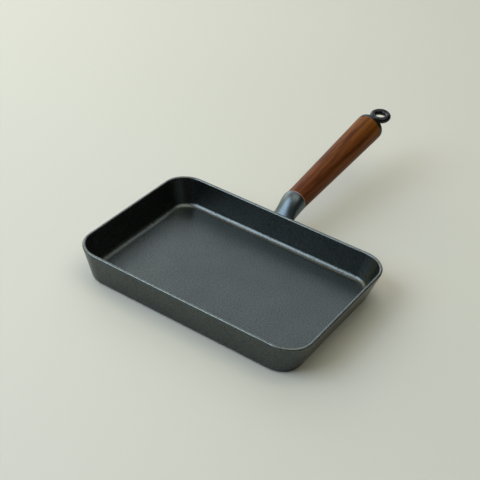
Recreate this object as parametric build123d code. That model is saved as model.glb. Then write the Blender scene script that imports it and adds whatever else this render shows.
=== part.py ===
# Rectangular omelette pan with a screwed wooden handle and a hanging ring.
# Millimetres. The origin is the centre of the flat base, +Z is up and +Y points along the handle.
import os
from math import cos, radians, sin

from build123d import *

# Pan, outside
RIM_LENGTH = 215.8
RIM_DEPTH = 150.5
PAN_HEIGHT = 29.5
SIDE_INSET = 9.5
FRONT_INSET = 5.45
RIM_CORNER_RADIUS = 23.3
BASE_CORNER_RADIUS = 19.2
BASE_EDGE_RADIUS = 3.7

# Pan, wall and floor
WALL = 2.9
BASE_THICKNESS = 4.4
RIM_EDGE_RADIUS = 1.2
FLOOR_EDGE_RADIUS = 5.0

# Handle axis: the middle of the ferrule's end face, beyond the back rim and above the rim, and its slope
JOINT_BEYOND_RIM = 21.7
JOINT_ABOVE_RIM = 2.8
HANDLE_PITCH_DEG = 7.42

# Neck: places of its oval sections beyond the back rim and below the rim, with half widths and half heights
NECK_ROOT_INSIDE_RIM = 4.5
NECK_ROOT_BELOW_RIM = 11.5
NECK_ROOT_HALF_WIDTH = 12.5
NECK_ROOT_HALF_HEIGHT = 6.0
NECK_ROOT_PITCH_DEG = 50.0
NECK_FLARE_BEYOND_RIM = 2.4
NECK_FLARE_BELOW_RIM = 5.4
NECK_FLARE_HALF_WIDTH = 10.4
NECK_FLARE_HALF_HEIGHT = 4.2
NECK_FLARE_PITCH_DEG = 48.0
NECK_WAIST_BEYOND_RIM = 8.3
NECK_WAIST_BELOW_RIM = 2.2
NECK_WAIST_HALF_WIDTH = 9.8
NECK_WAIST_HALF_HEIGHT = 7.7
NECK_WAIST_PITCH_DEG = 22.0
FERRULE_END_RADIUS = 10.45
FERRULE_END_ROUND = 1.0
FERRULE_WALL = 1.8
FERRULE_WALL_GAP = 0.4
WEB_THICKNESS = 3.0
SOCKET_DEPTH = 3.0
SOCKET_RADIUS = 7.5

# Wooden handle
WOOD_LENGTH = 130.4
WOOD_FRONT_RADIUS = 10.15
WOOD_END_RADIUS = 13.3
WOOD_FRONT_CHAMFER = 0.6
WOOD_END_ROUND = 0.8
WOOD_BORE_RADIUS = 3.0
COUNTERBORE_RADIUS = 5.6
COUNTERBORE_DEPTH = 22.0

# Gasket and locating pin
GASKET_THICKNESS = 1.0
PIN_RADIUS = 1.5
PIN_LENGTH = 18.0
PIN_OFFSET = 5.0
PIN_DEPTH_IN_BOSS = 4.0

# Thread, shared by the insert, the tie rod, the nut and the ring's shank
THREAD_RADIUS = 2.5
THREAD_PITCH = 0.8
RING_TURNS = 7.5

# Thread insert and tie rod
INSERT_RADIUS = 3.5
INSERT_LENGTH = 7.0
ROD_END_SHORT_OF_INSERT = 0.5
ROD_POINT_CHAMFER = 0.5

# Washers and barrel nut
ROD_WASHER_RADIUS = 5.4
ROD_WASHER_THICKNESS = 1.2
LOCK_WASHER_RADIUS = 4.6
LOCK_WASHER_THICKNESS = 1.4
LOCK_WASHER_SLIT = 0.8
NUT_RADIUS = 4.8
NUT_LENGTH = 14.0
NUT_SLOT_WIDTH = 1.4
NUT_SLOT_DEPTH = 2.0
NUT_EDGE_CHAMFER = 0.5
ROD_LENGTH_IN_NUT = 6.4

# End cap
CAP_RADIUS = 13.3
CAP_THICKNESS = 4.2
CAP_EDGE_CHAMFER = 0.4
CAP_EDGE_ROUND = 1.2
CAP_SPIGOT_LENGTH = 3.0

# Hanging ring
RING_CENTRE_BEYOND_WOOD = 24.5
RING_RADIUS = 7.1
RING_BAR_RADIUS = 3.0
RING_FOOT_RADIUS = 5.0
RING_NECK_RADIUS = 3.3
SHANK_POINT_CHAMFER = 0.5

# Fits
FIT_CLEARANCE = 0.05
THREAD_CLEARANCE = 0.06
SPIGOT_CLEARANCE = 0.2
WASHER_CLEARANCE = 0.2
ROD_CLEARANCE = 0.3
BOSS_CLEARANCE = 0.3
CUT_OVERRUN = 5.0

BASE_UP = (Align.CENTER, Align.CENTER, Align.MIN)

# The handle's frame: its z runs along the handle axis, its x is the pan's x and its y points down
handle = Plane(
    origin=(0, RIM_DEPTH / 2 + JOINT_BEYOND_RIM, PAN_HEIGHT + JOINT_ABOVE_RIM),
    x_dir=(1, 0, 0),
    z_dir=(0, cos(radians(HANDLE_PITCH_DEG)), sin(radians(HANDLE_PITCH_DEG))),
)

# Stations along the handle axis, measured from the ferrule's end face
web_front = -SOCKET_DEPTH - WEB_THICKNESS
gasket_front = -SOCKET_DEPTH
spigot_front = gasket_front + GASKET_THICKNESS
insert_front = web_front - INSERT_LENGTH
rod_front = insert_front + ROD_END_SHORT_OF_INSERT
counterbore_floor = WOOD_LENGTH - COUNTERBORE_DEPTH
lock_washer_front = counterbore_floor + ROD_WASHER_THICKNESS
nut_front = lock_washer_front + LOCK_WASHER_THICKNESS
nut_end = nut_front + NUT_LENGTH
rod_end = nut_front + ROD_LENGTH_IN_NUT
cap_end = WOOD_LENGTH + CAP_THICKNESS
shank_front = nut_end - RING_TURNS * THREAD_PITCH
ring_centre = WOOD_LENGTH + RING_CENTRE_BEYOND_WOOD


def rod_along(front, end, radius):
    """Solid cylinder on the handle axis between two stations."""
    return handle * Pos(0, 0, front) * Cylinder(radius, end - front, align=BASE_UP)


def tube_along(front, end, radius, bore_radius):
    """Tube on the handle axis between two stations."""
    bore = rod_along(front - CUT_OVERRUN, end + CUT_OVERRUN, bore_radius)
    return rod_along(front, end, radius) - bore


def pan_section(z, offset):
    """Rounded rectangle of the pan's outer wall at height z, grown by offset."""
    share = z / PAN_HEIGHT
    length = RIM_LENGTH - 2 * SIDE_INSET * (1 - share)
    depth = RIM_DEPTH - 2 * FRONT_INSET * (1 - share)
    corner = BASE_CORNER_RADIUS + (RIM_CORNER_RADIUS - BASE_CORNER_RADIUS) * share
    outline = RectangleRounded(length + 2 * offset, depth + 2 * offset, corner + offset)
    return Pos(0, 0, z) * outline


def pan_block(bottom, top, offset):
    """The pan's drafted outer form between two heights, grown by offset."""
    return loft([pan_section(bottom, offset), pan_section(top, offset)], ruled=True)


def neck_section(beyond_rim, below_rim, pitch_deg, half_width, half_height):
    """Oval section of the neck, placed from the top of the back rim."""
    pitch = radians(pitch_deg)
    plane = Plane(
        origin=(0, RIM_DEPTH / 2 + beyond_rim, PAN_HEIGHT - below_rim),
        x_dir=(1, 0, 0),
        z_dir=(0, cos(pitch), sin(pitch)),
    )
    return plane * Ellipse(half_width, half_height)


def neck_block(inset, closed_at_web):
    """The neck's form drawn in by inset, from inside the pan's wall to the web or to the ferrule's end."""
    end_radius = FERRULE_END_RADIUS - inset
    sections = [
        neck_section(
            -NECK_ROOT_INSIDE_RIM,
            NECK_ROOT_BELOW_RIM,
            NECK_ROOT_PITCH_DEG,
            NECK_ROOT_HALF_WIDTH - inset,
            NECK_ROOT_HALF_HEIGHT - inset,
        ),
        neck_section(
            NECK_FLARE_BEYOND_RIM,
            NECK_FLARE_BELOW_RIM,
            NECK_FLARE_PITCH_DEG,
            NECK_FLARE_HALF_WIDTH - inset,
            NECK_FLARE_HALF_HEIGHT - inset,
        ),
        neck_section(
            NECK_WAIST_BEYOND_RIM,
            NECK_WAIST_BELOW_RIM,
            NECK_WAIST_PITCH_DEG,
            NECK_WAIST_HALF_WIDTH - inset,
            NECK_WAIST_HALF_HEIGHT - inset,
        ),
        handle * Pos(0, 0, web_front) * Ellipse(end_radius, end_radius),
    ]
    if not closed_at_web:
        sections.append(handle * Ellipse(end_radius, end_radius))
    return loft(sections)


def pin_hole():
    """Hole for the locating pin, through every piece that it crosses."""
    front = web_front - PIN_DEPTH_IN_BOSS
    hole = Cylinder(PIN_RADIUS + FIT_CLEARANCE, PIN_LENGTH, align=BASE_UP)
    return handle * Pos(0, PIN_OFFSET, front) * hole


def make_pan_body():
    """Cast tray with a solid boss on its back wall for the handle."""
    outside = pan_block(0, PAN_HEIGHT, 0)
    base_edges = outside.edges().group_by(Axis.Z)[0]
    outside = fillet(base_edges, BASE_EDGE_RADIUS)
    hollow = pan_block(BASE_THICKNESS, PAN_HEIGHT, -WALL)
    floor_edges = hollow.edges().group_by(Axis.Z)[0]
    hollow = fillet(floor_edges, FLOOR_EDGE_RADIUS)
    tray = outside - hollow
    tray = fillet(tray.edges().group_by(Axis.Z)[-1], RIM_EDGE_RADIUS)
    boss = neck_block(FERRULE_WALL + BOSS_CLEARANCE, True) - hollow
    socket = rod_along(insert_front, web_front + CUT_OVERRUN, INSERT_RADIUS + FIT_CLEARANCE)
    return tray + (boss - socket - pin_hole())


def make_thread_insert():
    """Threaded sleeve set in the end of the boss."""
    return tube_along(insert_front, web_front, INSERT_RADIUS, THREAD_RADIUS + THREAD_CLEARANCE)


def make_neck_ferrule():
    """Hollow sleeve over the boss, with a web that the wood is clamped against."""
    ferrule = neck_block(0, False)
    end_edge = ferrule.edges().sort_by(Axis.Y)[-1]
    ferrule = fillet(end_edge, FERRULE_END_ROUND)
    ferrule -= neck_block(FERRULE_WALL, True)
    ferrule -= pan_block(0, PAN_HEIGHT, FERRULE_WALL_GAP)
    ferrule -= rod_along(-SOCKET_DEPTH, CUT_OVERRUN, SOCKET_RADIUS)
    ferrule -= rod_along(web_front - CUT_OVERRUN, 0, THREAD_RADIUS + ROD_CLEARANCE)
    return ferrule - pin_hole()


def make_heat_gasket():
    """Insulating disc between the web and the wood."""
    radius = SOCKET_RADIUS - SPIGOT_CLEARANCE
    disc = tube_along(gasket_front, spigot_front, radius, THREAD_RADIUS + ROD_CLEARANCE)
    return disc - pin_hole()


def make_locating_pin():
    """Dowel through the web into the boss and the wood."""
    front = web_front - PIN_DEPTH_IN_BOSS
    return handle * Pos(0, PIN_OFFSET, front) * Cylinder(PIN_RADIUS, PIN_LENGTH, align=BASE_UP)


def make_wooden_handle():
    """Turned handle, thicker at its end, with a spigot, a long bore and a counterbore."""
    grip = handle * Cone(WOOD_FRONT_RADIUS, WOOD_END_RADIUS, WOOD_LENGTH, align=BASE_UP)
    rims = grip.edges().sort_by(Axis.Y)
    grip = chamfer(rims[0], WOOD_FRONT_CHAMFER)
    end_edge = grip.edges().sort_by(Axis.Y)[-1]
    grip = fillet(end_edge, WOOD_END_ROUND)
    grip += rod_along(spigot_front, WOOD_FRONT_CHAMFER, SOCKET_RADIUS - SPIGOT_CLEARANCE)
    grip -= rod_along(spigot_front - CUT_OVERRUN, WOOD_LENGTH + CUT_OVERRUN, WOOD_BORE_RADIUS)
    grip -= rod_along(counterbore_floor, WOOD_LENGTH + CUT_OVERRUN, COUNTERBORE_RADIUS)
    return grip - pin_hole()


def make_tie_rod():
    """Rod from the insert in the boss to the barrel nut."""
    rod = rod_along(rod_front, rod_end, THREAD_RADIUS)
    return chamfer(rod.edges().filter_by(GeomType.CIRCLE), ROD_POINT_CHAMFER)


def make_rod_washer():
    """Flat washer on the floor of the counterbore."""
    bore = THREAD_RADIUS + WASHER_CLEARANCE
    return tube_along(counterbore_floor, lock_washer_front, ROD_WASHER_RADIUS, bore)


def make_lock_washer():
    """Split spring washer, closed flat under the nut."""
    bore = THREAD_RADIUS + WASHER_CLEARANCE
    ring = tube_along(lock_washer_front, nut_front, LOCK_WASHER_RADIUS, bore)
    slit = Box(
        LOCK_WASHER_SLIT,
        LOCK_WASHER_RADIUS + CUT_OVERRUN,
        LOCK_WASHER_THICKNESS + 2 * CUT_OVERRUN,
        align=(Align.CENTER, Align.MAX, Align.CENTER),
    )
    return ring - handle * Pos(0, 0, lock_washer_front) * slit


def make_barrel_nut():
    """Long round nut with a driving slot across its outer end."""
    nut = rod_along(nut_front, nut_end, NUT_RADIUS)
    nut = chamfer(nut.edges().filter_by(GeomType.CIRCLE), NUT_EDGE_CHAMFER)
    nut -= rod_along(nut_front - CUT_OVERRUN, nut_end + CUT_OVERRUN, THREAD_RADIUS + THREAD_CLEARANCE)
    slot = Box(2 * NUT_RADIUS + CUT_OVERRUN, NUT_SLOT_WIDTH, 2 * NUT_SLOT_DEPTH)
    return nut - handle * Pos(0, 0, nut_end) * slot


def make_end_cap():
    """Disc on the wood's end, with a short spigot in the counterbore."""
    disc = rod_along(WOOD_LENGTH, cap_end, CAP_RADIUS)
    rims = disc.edges().filter_by(GeomType.CIRCLE).sort_by(Axis.Y)
    disc = chamfer(rims[0], CAP_EDGE_CHAMFER)
    outer_rim = disc.edges().filter_by(GeomType.CIRCLE).sort_by(Axis.Y)[-1]
    disc = fillet(outer_rim, CAP_EDGE_ROUND)
    spigot_radius = COUNTERBORE_RADIUS - SPIGOT_CLEARANCE
    disc += rod_along(WOOD_LENGTH - CAP_SPIGOT_LENGTH, WOOD_LENGTH, spigot_radius)
    bore_radius = THREAD_RADIUS + THREAD_CLEARANCE
    return disc - rod_along(WOOD_LENGTH - 2 * CAP_SPIGOT_LENGTH, cap_end + CUT_OVERRUN, bore_radius)


def make_hanging_ring():
    """Ring on a conical foot, with a threaded shank through the cap into the nut."""
    neck_end = ring_centre - RING_RADIUS
    ring = handle * Pos(0, 0, ring_centre) * Rot(90, 0, 0) * Torus(RING_RADIUS, RING_BAR_RADIUS)
    foot = Cone(RING_FOOT_RADIUS, RING_NECK_RADIUS, neck_end - cap_end, align=BASE_UP)
    ring += handle * Pos(0, 0, cap_end) * foot
    shank = rod_along(shank_front, cap_end, THREAD_RADIUS)
    point = shank.edges().filter_by(GeomType.CIRCLE).sort_by(Axis.Y)[0]
    return ring + chamfer(point, SHANK_POINT_CHAMFER)


os.makedirs("parts", exist_ok=True)
pieces = {
    "pan_body": make_pan_body(),
    "thread_insert": make_thread_insert(),
    "neck_ferrule": make_neck_ferrule(),
    "heat_gasket": make_heat_gasket(),
    "locating_pin": make_locating_pin(),
    "wooden_handle": make_wooden_handle(),
    "tie_rod": make_tie_rod(),
    "rod_washer": make_rod_washer(),
    "lock_washer": make_lock_washer(),
    "barrel_nut": make_barrel_nut(),
    "end_cap": make_end_cap(),
    "hanging_ring": make_hanging_ring(),
}
for name, shape in pieces.items():
    export_step(shape, f"parts/{name}.step")
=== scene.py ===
# The look of a rectangular omelette pan with a wooden handle: camera, light and materials in metres.
from math import atan2, cos, radians, sin

import bpy
from mathutils import Matrix, Vector


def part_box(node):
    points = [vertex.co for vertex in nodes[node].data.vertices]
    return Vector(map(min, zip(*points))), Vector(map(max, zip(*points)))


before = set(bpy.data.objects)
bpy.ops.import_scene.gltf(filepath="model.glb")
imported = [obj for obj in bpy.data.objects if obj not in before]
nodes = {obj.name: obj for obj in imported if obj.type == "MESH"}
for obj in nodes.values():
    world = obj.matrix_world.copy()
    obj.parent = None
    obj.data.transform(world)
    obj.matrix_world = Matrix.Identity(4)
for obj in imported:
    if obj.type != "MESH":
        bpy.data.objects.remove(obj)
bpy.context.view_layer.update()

# Camera, solved on the photograph's rim, base line and corners
CAMERA_AZIMUTH = radians(30.159)
CAMERA_ELEVATION = radians(35.432)
CAMERA_ROLL = radians(5.965)
CAMERA_DISTANCE = 0.89824
CAMERA_TARGET_X = -0.00654
CAMERA_TARGET_Y = 0.01992
CAMERA_TARGET_Z = 0.0295
CAMERA_FOCAL_PIXELS = 1088.55
IMAGE_PIXELS = 480
SENSOR_MM = 36.0

# Floor and surroundings
FLOOR_SIZE = 8.0
FLOOR_COLOUR = (0.65, 0.65, 0.585)
FLOOR_ROUGHNESS = 0.75
FLOOR_SPECULAR = 0.2
FLOOR_TONE_SIZE = 0.4
FLOOR_TONE_DETAIL = 1.0
FLOOR_TONE_SHARE = 0.01
WORLD_COLOUR = (1.0, 0.98, 0.85)
WORLD_STRENGTH = 0.06

# Lamps: direction on the floor, height, side of the square, power and colour
LAMP_DISTANCE = 1.7
KEY_TURN = radians(231)
KEY_ELEVATION = radians(42)
KEY_SIZE = 1.15
KEY_WATTS = 19.2
KEY_COLOUR = (0.74, 0.855, 1.0)
SIDE_TURN = radians(190)
SIDE_ELEVATION = radians(30)
SIDE_SIZE = 1.1
SIDE_WATTS = 4.8
SIDE_COLOUR = (1.0, 1.0, 0.7)
HIGH_TURN = radians(180)
HIGH_ELEVATION = radians(60)
HIGH_SIZE = 1.6
HIGH_WATTS = 4.6
HIGH_COLOUR = (1.0, 0.85, 0.77)
LOW_TURN = radians(152)
LOW_ELEVATION = radians(16)
LOW_SIZE = 1.1
LOW_WATTS = 9.0
LOW_COLOUR = (1.0, 1.0, 0.95)
BACK_TURN = radians(115)
BACK_ELEVATION = radians(30)
BACK_SIZE = 1.5
BACK_WATTS = 6.8
BACK_COLOUR = (0.86, 0.92, 1.0)
TOP_TURN = radians(30)
TOP_ELEVATION = radians(75)
TOP_SIZE = 1.5
TOP_WATTS = 10.0
TOP_COLOUR = (1.0, 0.985, 0.82)

# The handle's frame: from the middle of the heat gasket's box to the middle of the end cap's
gasket_low, gasket_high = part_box("heat_gasket")
cap_low, cap_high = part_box("end_cap")
axis_start = (Vector(gasket_low) + Vector(gasket_high)) / 2
axis_end = (Vector(cap_low) + Vector(cap_high)) / 2
HANDLE_PITCH = atan2(axis_end.z - axis_start.z, axis_end.y - axis_start.y)
HANDLE_LENGTH = (axis_end - axis_start).length

# Noise in general: how fine it is, and where on it a tone starts and ends
NOISE_DETAIL = 3.0
NOISE_DETAIL_SOFT = 2.0
NOISE_ROUGHNESS = 0.55
NOISE_LOW = 0.3
NOISE_HIGH = 0.7
RAMP_MIDDLE = 0.5
WHITE = (1.0, 1.0, 1.0)

# Coat of the pan
COAT_DARK = (0.061, 0.0695, 0.0685)
COAT_DARK_STOP = 0.42
COAT_LIGHT = (0.141, 0.161, 0.155)
COAT_LIGHT_STOP = 0.74
COAT_SPECK = 0.0011
COAT_SPECK_DETAIL = 4.0
COAT_SPECK_ROUGHNESS = 0.7
COAT_CLOUD = 25 * COAT_SPECK
COAT_CLOUD_SHARE = 0.12
# Painted shade: the base colour of the pan's downward-facing outside walls and base is darkened by
# this much
COAT_OUTSIDE_PAINTED_SHADE = (0.82, 0.82, 0.84)
COAT_ROUGHNESS = 0.29
COAT_ROUGHNESS_DROP = 0.05
COAT_ROUGHNESS_RISE = 0.08
COAT_BUMP = 0.00009
WALL_LEAN = 0.06
RIM_HEIGHT = 0.0295
# Painted highlight: the rim's top, over this depth, is lightened by this much
RIM_HIGHLIGHT_DEPTH = 0.0009
RIM_PAINTED_HIGHLIGHT = (1.55, 1.55, 1.55)

# Satin metal of the neck
NECK_DARK = (0.085, 0.110, 0.125)
NECK_DARK_STOP = 0.35
NECK_LIGHT = (0.128, 0.161, 0.182)
NECK_SPECK = 0.0009
NECK_SPECK_DETAIL = 4.0
NECK_SPECK_ROUGHNESS = 0.65
NECK_ROUGHNESS = 0.32
NECK_ROUGHNESS_RISE = 0.06
NECK_BUMP = 0.00004

# Wood
WOOD_DARK = (0.062, 0.016, 0.003)
WOOD_DARK_STOP = 0.38
WOOD_MID = (0.128, 0.037, 0.007)
WOOD_MID_STOP = 0.5
WOOD_LIGHT = (0.200, 0.066, 0.013)
WOOD_LIGHT_STOP = 0.64
# Pale band at the neck end of the handle: bare chamfer wood, lightened as a painted highlight
WOOD_EDGE_BARE_AND_HIGHLIGHT = (0.55, 0.30, 0.17)
WOOD_EDGE_END = 0.0031
# Red tone near the neck with its blue raised as a painted sheen; golden tone towards the end
WOOD_RED_TINT_AND_SHEEN = (0.95, 0.92, 1.5)
WOOD_GOLD_TINT = (1.32, 1.45, 0.9)
WOOD_TINT_START = 0.1
WOOD_SPECULAR = 0.07
WOOD_ROUGHNESS = 0.42
WOOD_ROUGHNESS_DARK = 0.5
WOOD_ROUGHNESS_LIGHT = 0.4
WOOD_RING_WIDTH = 0.0075
WOOD_RING_BEND = 0.6
WOOD_RING_SHARE = 0.6
WOOD_GRAIN_WIDTH = 0.0016
WOOD_GRAIN_DETAIL = 5.0
WOOD_GRAIN_ROUGHNESS = 0.65
WOOD_GRAIN_BEND = 0.3
WOOD_GRAIN_SHARE = 0.4
WOOD_PORE_WIDTH = 0.00045
WOOD_PORE_SHADE = 0.62
WOOD_PORE_END = 0.42
WOOD_STRETCH = 22.0
WOOD_BUMP = 0.00006

# Black enamel
ENAMEL_DARK = (0.004, 0.004, 0.0045)
ENAMEL_LIGHT = (0.008, 0.008, 0.0085)
ENAMEL_ROUGHNESS = 0.17
ENAMEL_SPECULAR = 0.3
ENAMEL_RIPPLE = 0.0012
ENAMEL_BUMP = 0.00002

# Steel of the fasteners, and the ring's shank
STEEL_LIGHT = (0.55, 0.55, 0.54)
STEEL_DARK = (0.32, 0.32, 0.32)
STEEL_STREAK = 0.0003
STEEL_STRETCH = (30, 1, 30)
STEEL_ROUGHNESS = 0.3
STEEL_ROUGHNESS_DARK = 0.38
STEEL_ROUGHNESS_LIGHT = 0.26
STEEL_BUMP = 0.00002
THREAD_PITCH = 0.0008
THREAD_DEPTH = 0.0003
THREAD_HALF = 0.5
FULL_TURN = radians(360)
SHANK_RADIUS = 0.0027
SHANK_RIPPLE_SHARE = 0.08

# Rubber of the gasket
RUBBER_DARK = (0.02, 0.02, 0.019)
RUBBER_LIGHT = (0.05, 0.048, 0.045)
RUBBER_GRAIN = 0.0006
RUBBER_ROUGHNESS = 0.7
RUBBER_BUMP = 0.00005


def make_camera():
    """Camera at the photograph's angle, turned about its own axis by the photograph's roll."""
    across = Vector((cos(CAMERA_AZIMUTH), sin(CAMERA_AZIMUTH), 0))
    ahead_level = Vector((-sin(CAMERA_AZIMUTH), cos(CAMERA_AZIMUTH), 0))
    ahead = ahead_level * cos(CAMERA_ELEVATION) - Vector((0, 0, sin(CAMERA_ELEVATION)))
    above = ahead_level * sin(CAMERA_ELEVATION) + Vector((0, 0, cos(CAMERA_ELEVATION)))
    right = across * cos(CAMERA_ROLL) + above * sin(CAMERA_ROLL)
    up = above * cos(CAMERA_ROLL) - across * sin(CAMERA_ROLL)
    target = Vector((CAMERA_TARGET_X, CAMERA_TARGET_Y, CAMERA_TARGET_Z))
    data = bpy.data.cameras.new("camera")
    data.sensor_width = SENSOR_MM
    data.lens = SENSOR_MM * CAMERA_FOCAL_PIXELS / IMAGE_PIXELS
    camera = bpy.data.objects.new("camera", data)
    turn = Matrix((right, up, -ahead)).transposed().to_4x4()
    camera.matrix_world = Matrix.Translation(target - ahead * CAMERA_DISTANCE) @ turn
    bpy.context.scene.collection.objects.link(camera)
    bpy.context.scene.camera = camera


def new_material(name, roughness, metallic=0.0):
    """Material with its tree and its shader, ready for nodes."""
    material = bpy.data.materials.new(name)
    material.use_nodes = True
    shader = material.node_tree.nodes["Principled BSDF"]
    shader.inputs["Roughness"].default_value = roughness
    shader.inputs["Metallic"].default_value = metallic
    return material, material.node_tree, shader


def feed(tree, socket, term):
    """Gives a socket its term: another node's output, a colour or a number."""
    if isinstance(term, bpy.types.NodeSocket):
        tree.links.new(term, socket)
    elif isinstance(term, tuple):
        socket.default_value = (*term, 1)
    else:
        socket.default_value = term


def place_node(tree, stretch=(1, 1, 1), along_handle=False):
    """The object's own coordinates, or the handle's, divided by stretch."""
    coordinates = tree.nodes.new("ShaderNodeTexCoord")
    mapping = tree.nodes.new("ShaderNodeMapping")
    mapping.vector_type = "TEXTURE"
    mapping.inputs["Scale"].default_value = stretch
    if along_handle:
        mapping.inputs["Location"].default_value = axis_start
        mapping.inputs["Rotation"].default_value = (HANDLE_PITCH, 0, 0)
    tree.links.new(coordinates.outputs["Object"], mapping.inputs["Vector"])
    return mapping.outputs["Vector"]


def split_node(tree, place):
    """Splits a place into its three parts."""
    split = tree.nodes.new("ShaderNodeSeparateXYZ")
    tree.links.new(place, split.inputs["Vector"])
    return split


def noise_node(tree, place, size, detail=NOISE_DETAIL, roughness=NOISE_ROUGHNESS, bend=0.0):
    """Noise whose grains are about size metres wide."""
    noise = tree.nodes.new("ShaderNodeTexNoise")
    noise.inputs["Scale"].default_value = 1 / size
    noise.inputs["Detail"].default_value = detail
    noise.inputs["Roughness"].default_value = roughness
    noise.inputs["Distortion"].default_value = bend
    tree.links.new(place, noise.inputs["Vector"])
    return noise.outputs["Fac"]


def ramp_node(tree, factor, stops):
    """Colours or greys by position; each stop is a position and a colour or a grey."""
    ramp = tree.nodes.new("ShaderNodeValToRGB")
    elements = ramp.color_ramp.elements
    while len(elements) < len(stops):
        elements.new(RAMP_MIDDLE)
    for element, (position, value) in zip(elements, stops):
        element.position = position
        element.color = (*value, 1) if isinstance(value, tuple) else (value, value, value, 1)
    tree.links.new(factor, ramp.inputs["Fac"])
    return ramp.outputs["Color"]


def tone_node(tree, noise, first, second):
    """From the first colour or grey to the second as the noise rises."""
    return ramp_node(tree, noise, [(NOISE_LOW, first), (NOISE_HIGH, second)])


def math_node(tree, operation, *terms):
    """One sum of sockets or numbers."""
    node = tree.nodes.new("ShaderNodeMath")
    node.operation = operation
    for socket, term in zip(node.inputs, terms):
        feed(tree, socket, term)
    return node.outputs["Value"]


def mix_node(tree, factor, first, second, blend="MIX"):
    """Mixes two colours by a factor."""
    node = tree.nodes.new("ShaderNodeMix")
    node.data_type = "RGBA"
    node.blend_type = blend
    colours = [socket for socket in node.inputs if socket.type == "RGBA"]
    for socket, term in zip((node.inputs["Factor"], *colours), (factor, first, second)):
        feed(tree, socket, term)
    return [socket for socket in node.outputs if socket.type == "RGBA"][0]


def bump_node(tree, shader, height, depth):
    """Bump of depth metres into the shader's normal."""
    bump = tree.nodes.new("ShaderNodeBump")
    bump.inputs["Strength"].default_value = 1.0
    bump.inputs["Distance"].default_value = depth
    tree.links.new(height, bump.inputs["Height"])
    tree.links.new(bump.outputs["Normal"], shader.inputs["Normal"])


def outside_shade_mask_node(tree):
    """One on the pan's outside, whose walls lean outwards and face down, and nought on its inside:
    the mask of the outside's painted shade.
    """
    coordinates = tree.nodes.new("ShaderNodeTexCoord")
    down = split_node(tree, coordinates.outputs["Normal"]).outputs["Z"]
    return math_node(tree, "LESS_THAN", down, -WALL_LEAN)


def rim_highlight_node(tree, place):
    """One on the top of the rim, where a painted highlight lightens the coat, and nought a little
    below it.
    """
    height = split_node(tree, place).outputs["Z"]
    above = math_node(tree, "SUBTRACT", height, RIM_HEIGHT - RIM_HIGHLIGHT_DEPTH)
    return math_node(tree, "DIVIDE", above, RIM_HIGHLIGHT_DEPTH)


def coat_material():
    """Dark nonstick coat: fine light specks, a sanded surface, painted shade on the downward-facing
    outside and a painted highlight that lightens the rim's top.
    """
    material, tree, shader = new_material("nonstick_coat", COAT_ROUGHNESS, 1.0)
    place = place_node(tree)
    speck = noise_node(tree, place, COAT_SPECK, COAT_SPECK_DETAIL, COAT_SPECK_ROUGHNESS)
    cloud = noise_node(tree, place, COAT_CLOUD)
    mixed = math_node(tree, "MULTIPLY_ADD", cloud, COAT_CLOUD_SHARE, speck)
    colour = ramp_node(tree, mixed, [(COAT_DARK_STOP, COAT_DARK), (COAT_LIGHT_STOP, COAT_LIGHT)])
    # Painted shade: the downward-facing outside is darkened
    shade = ramp_node(tree, outside_shade_mask_node(tree), [(0.0, WHITE), (1.0, COAT_OUTSIDE_PAINTED_SHADE)])
    colour = mix_node(tree, 1.0, colour, shade, "MULTIPLY")
    # Painted highlight: the rim's top is lightened
    rim_highlight = ramp_node(tree, rim_highlight_node(tree, place), [(0.0, WHITE), (1.0, RIM_PAINTED_HIGHLIGHT)])
    feed(tree, shader.inputs["Base Color"], mix_node(tree, 1.0, colour, rim_highlight, "MULTIPLY"))
    smoothest = COAT_ROUGHNESS - COAT_ROUGHNESS_DROP
    roughest = COAT_ROUGHNESS + COAT_ROUGHNESS_RISE
    feed(tree, shader.inputs["Roughness"], tone_node(tree, speck, smoothest, roughest))
    bump_node(tree, shader, speck, COAT_BUMP)
    return material


def neck_material():
    """Satin slate-blue cast metal."""
    material, tree, shader = new_material("neck_satin", NECK_ROUGHNESS, 1.0)
    speck = noise_node(tree, place_node(tree), NECK_SPECK, NECK_SPECK_DETAIL, NECK_SPECK_ROUGHNESS)
    colour = ramp_node(tree, speck, [(NECK_DARK_STOP, NECK_DARK), (NOISE_HIGH, NECK_LIGHT)])
    feed(tree, shader.inputs["Base Color"], colour)
    roughest = NECK_ROUGHNESS + NECK_ROUGHNESS_RISE
    feed(tree, shader.inputs["Roughness"], tone_node(tree, speck, NECK_ROUGHNESS, roughest))
    bump_node(tree, shader, speck, NECK_BUMP)
    return material


def wood_figure(tree, rings, grain):
    """Colour of the wood from its rings and its grain."""
    fine = math_node(tree, "MULTIPLY", grain, WOOD_GRAIN_SHARE)
    figure = math_node(tree, "MULTIPLY_ADD", rings, WOOD_RING_SHARE, fine)
    stops = [(WOOD_DARK_STOP, WOOD_DARK), (WOOD_MID_STOP, WOOD_MID), (WOOD_LIGHT_STOP, WOOD_LIGHT)]
    return ramp_node(tree, figure, stops)


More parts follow.
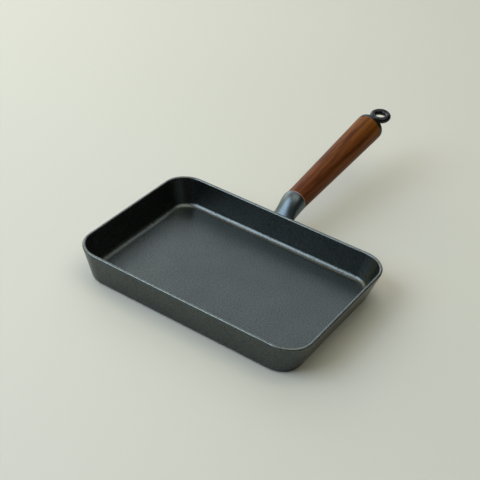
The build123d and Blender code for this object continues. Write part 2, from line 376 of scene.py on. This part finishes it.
def wood_material():
    """Oiled walnut, its grain along the handle, redder with a painted bluish sheen near the neck, its
    tone more golden towards the end, and a pale neck-end band of bare wood with a painted highlight.
    """
    material, tree, shader = new_material("walnut_oiled", WOOD_ROUGHNESS)
    shader.inputs["Specular IOR Level"].default_value = WOOD_SPECULAR
    place = place_node(tree, (1, WOOD_STRETCH, 1), along_handle=True)
    rings = noise_node(tree, place, WOOD_RING_WIDTH, NOISE_DETAIL_SOFT, bend=WOOD_RING_BEND)
    grain = noise_node(
        tree, place, WOOD_GRAIN_WIDTH, WOOD_GRAIN_DETAIL, WOOD_GRAIN_ROUGHNESS, WOOD_GRAIN_BEND
    )
    pores = noise_node(tree, place, WOOD_PORE_WIDTH, NOISE_DETAIL_SOFT)
    colour = wood_figure(tree, rings, grain)
    along = split_node(tree, place).outputs["Y"]
    share = math_node(tree, "DIVIDE", along, HANDLE_LENGTH / WOOD_STRETCH)
    # Red tone with a painted bluish sheen near the neck, golden towards the end
    tint_and_sheen = ramp_node(tree, share, [(WOOD_TINT_START, WOOD_RED_TINT_AND_SHEEN), (1.0, WOOD_GOLD_TINT)])
    colour = mix_node(tree, 1.0, colour, tint_and_sheen, "MULTIPLY")
    pore_shade = ramp_node(tree, pores, [(NOISE_LOW, WOOD_PORE_SHADE), (WOOD_PORE_END, 1.0)])
    colour = mix_node(tree, 1.0, colour, pore_shade, "MULTIPLY")
    # Pale band at the neck end: bare chamfer wood and a painted highlight
    bare = math_node(tree, "LESS_THAN", along, WOOD_EDGE_END / WOOD_STRETCH)
    feed(tree, shader.inputs["Base Color"], mix_node(tree, bare, colour, WOOD_EDGE_BARE_AND_HIGHLIGHT))
    rough = tone_node(tree, grain, WOOD_ROUGHNESS_DARK, WOOD_ROUGHNESS_LIGHT)
    feed(tree, shader.inputs["Roughness"], rough)
    bump_node(tree, shader, pore_shade, WOOD_BUMP)
    return material


def streak_node(tree, place):
    """Fine streaks of turned steel."""
    return noise_node(tree, place, STEEL_STREAK, NOISE_DETAIL_SOFT)


def thread_height(tree, split):
    """Height of a screw thread about the handle axis."""
    angle = math_node(tree, "ARCTAN2", split.outputs["Z"], split.outputs["X"])
    turns = math_node(tree, "DIVIDE", angle, FULL_TURN)
    pitches = math_node(tree, "DIVIDE", split.outputs["Y"], THREAD_PITCH)
    return math_node(tree, "PINGPONG", math_node(tree, "ADD", pitches, turns), THREAD_HALF)


def steel_material(name, stretch, threaded):
    """Turned steel for the hidden fasteners, with a screw thread on those that have one."""
    material, tree, shader = new_material(name, STEEL_ROUGHNESS, 1.0)
    place = place_node(tree, stretch, along_handle=True)
    streak = streak_node(tree, place)
    feed(tree, shader.inputs["Base Color"], tone_node(tree, streak, STEEL_DARK, STEEL_LIGHT))
    rough = tone_node(tree, streak, STEEL_ROUGHNESS_DARK, STEEL_ROUGHNESS_LIGHT)
    feed(tree, shader.inputs["Roughness"], rough)
    if threaded:
        bump_node(tree, shader, thread_height(tree, split_node(tree, place)), THREAD_DEPTH)
    else:
        bump_node(tree, shader, streak, STEEL_BUMP)
    return material


def shank_node(tree, split):
    """One on the ring's slim shank behind the end cap, and nought elsewhere."""
    across = math_node(tree, "POWER", split.outputs["X"], 2.0)
    squared = math_node(tree, "MULTIPLY_ADD", split.outputs["Z"], split.outputs["Z"], across)
    slim = math_node(tree, "LESS_THAN", squared, SHANK_RADIUS * SHANK_RADIUS)
    inside = math_node(tree, "LESS_THAN", split.outputs["Y"], HANDLE_LENGTH)
    return math_node(tree, "MULTIPLY", slim, inside)


def ring_material():
    """Black enamel on the ring, and bare threaded steel on its shank."""
    material, tree, shader = new_material("enamel_and_thread", ENAMEL_ROUGHNESS)
    shader.inputs["Specular IOR Level"].default_value = ENAMEL_SPECULAR
    place = place_node(tree, along_handle=True)
    split = split_node(tree, place)
    shank = shank_node(tree, split)
    ripple = noise_node(tree, place, ENAMEL_RIPPLE, NOISE_DETAIL_SOFT)
    grey = tone_node(tree, streak_node(tree, place), STEEL_DARK, STEEL_LIGHT)
    enamel = tone_node(tree, ripple, ENAMEL_DARK, ENAMEL_LIGHT)
    feed(tree, shader.inputs["Base Color"], mix_node(tree, shank, enamel, grey))
    feed(tree, shader.inputs["Metallic"], shank)
    thread = math_node(tree, "MULTIPLY", thread_height(tree, split), shank)
    height = math_node(tree, "MULTIPLY_ADD", ripple, SHANK_RIPPLE_SHARE, thread)
    bump_node(tree, shader, height, THREAD_DEPTH)
    return material


def enamel_material():
    """Gloss black enamel, slightly rippled."""
    material, tree, shader = new_material("black_enamel", ENAMEL_ROUGHNESS)
    shader.inputs["Specular IOR Level"].default_value = ENAMEL_SPECULAR
    ripple = noise_node(tree, place_node(tree), ENAMEL_RIPPLE, NOISE_DETAIL_SOFT)
    feed(tree, shader.inputs["Base Color"], tone_node(tree, ripple, ENAMEL_DARK, ENAMEL_LIGHT))
    bump_node(tree, shader, ripple, ENAMEL_BUMP)
    return material


def rubber_material():
    """Dark heat-resisting rubber."""
    material, tree, shader = new_material("gasket_rubber", RUBBER_ROUGHNESS)
    grain = noise_node(tree, place_node(tree), RUBBER_GRAIN)
    feed(tree, shader.inputs["Base Color"], tone_node(tree, grain, RUBBER_DARK, RUBBER_LIGHT))
    bump_node(tree, shader, grain, RUBBER_BUMP)
    return material


def floor_material():
    """Plain matt floor with a very faint change of tone."""
    material, tree, shader = new_material("floor_matt", FLOOR_ROUGHNESS)
    tone = noise_node(tree, place_node(tree), FLOOR_TONE_SIZE, FLOOR_TONE_DETAIL)
    low = tuple(value * (1 - FLOOR_TONE_SHARE) for value in FLOOR_COLOUR)
    high = tuple(value * (1 + FLOOR_TONE_SHARE) for value in FLOOR_COLOUR)
    feed(tree, shader.inputs["Base Color"], tone_node(tree, tone, low, high))
    shader.inputs["Specular IOR Level"].default_value = FLOOR_SPECULAR
    return material


def dress(names, material):
    """Gives CAD nodes one material."""
    for name in names:
        mesh = nodes[name].data
        mesh.materials.clear()
        mesh.materials.append(material)


def make_floor():
    """Plain pale floor."""
    bpy.ops.mesh.primitive_plane_add(size=FLOOR_SIZE)
    floor = bpy.context.object
    floor.name = "floor"
    floor.data.materials.append(floor_material())


def make_area_light(name, turn, elevation, size, watts, colour):
    """Soft square lamp that looks at the pan; turn is its direction on the floor, from +X to +Y."""
    data = bpy.data.lights.new(name, "AREA")
    data.shape = "SQUARE"
    data.size = size
    data.energy = watts
    data.color = colour
    lamp = bpy.data.objects.new(name, data)
    level = LAMP_DISTANCE * cos(elevation)
    lamp.location = (level * cos(turn), level * sin(turn), LAMP_DISTANCE * sin(elevation))
    lamp.rotation_euler = (-lamp.location).to_track_quat("-Z", "Y").to_euler()
    bpy.context.scene.collection.objects.link(lamp)


def make_world():
    """Faint, even and slightly warm surroundings."""
    world = bpy.data.worlds.new("world")
    world.use_nodes = True
    background = world.node_tree.nodes["Background"]
    background.inputs["Color"].default_value = (*WORLD_COLOUR, 1)
    background.inputs["Strength"].default_value = WORLD_STRENGTH
    bpy.context.scene.world = world


make_camera()
make_floor()
make_world()
make_area_light("key", KEY_TURN, KEY_ELEVATION, KEY_SIZE, KEY_WATTS, KEY_COLOUR)
make_area_light("side", SIDE_TURN, SIDE_ELEVATION, SIDE_SIZE, SIDE_WATTS, SIDE_COLOUR)
make_area_light("high", HIGH_TURN, HIGH_ELEVATION, HIGH_SIZE, HIGH_WATTS, HIGH_COLOUR)
make_area_light("low", LOW_TURN, LOW_ELEVATION, LOW_SIZE, LOW_WATTS, LOW_COLOUR)
make_area_light("back", BACK_TURN, BACK_ELEVATION, BACK_SIZE, BACK_WATTS, BACK_COLOUR)
make_area_light("top", TOP_TURN, TOP_ELEVATION, TOP_SIZE, TOP_WATTS, TOP_COLOUR)
dress(["pan_body"], coat_material())
dress(["neck_ferrule"], neck_material())
dress(["wooden_handle"], wood_material())
dress(["end_cap"], enamel_material())
dress(["hanging_ring"], ring_material())
dress(["tie_rod", "thread_insert"], steel_material("threaded_steel", (1, 1, 1), threaded=True))
plain_steel = steel_material("turned_steel", STEEL_STRETCH, threaded=False)
dress(["barrel_nut", "rod_washer", "lock_washer", "locating_pin"], plain_steel)
dress(["heat_gasket"], rubber_material())
bpy.context.scene.view_settings.view_transform = "Standard"
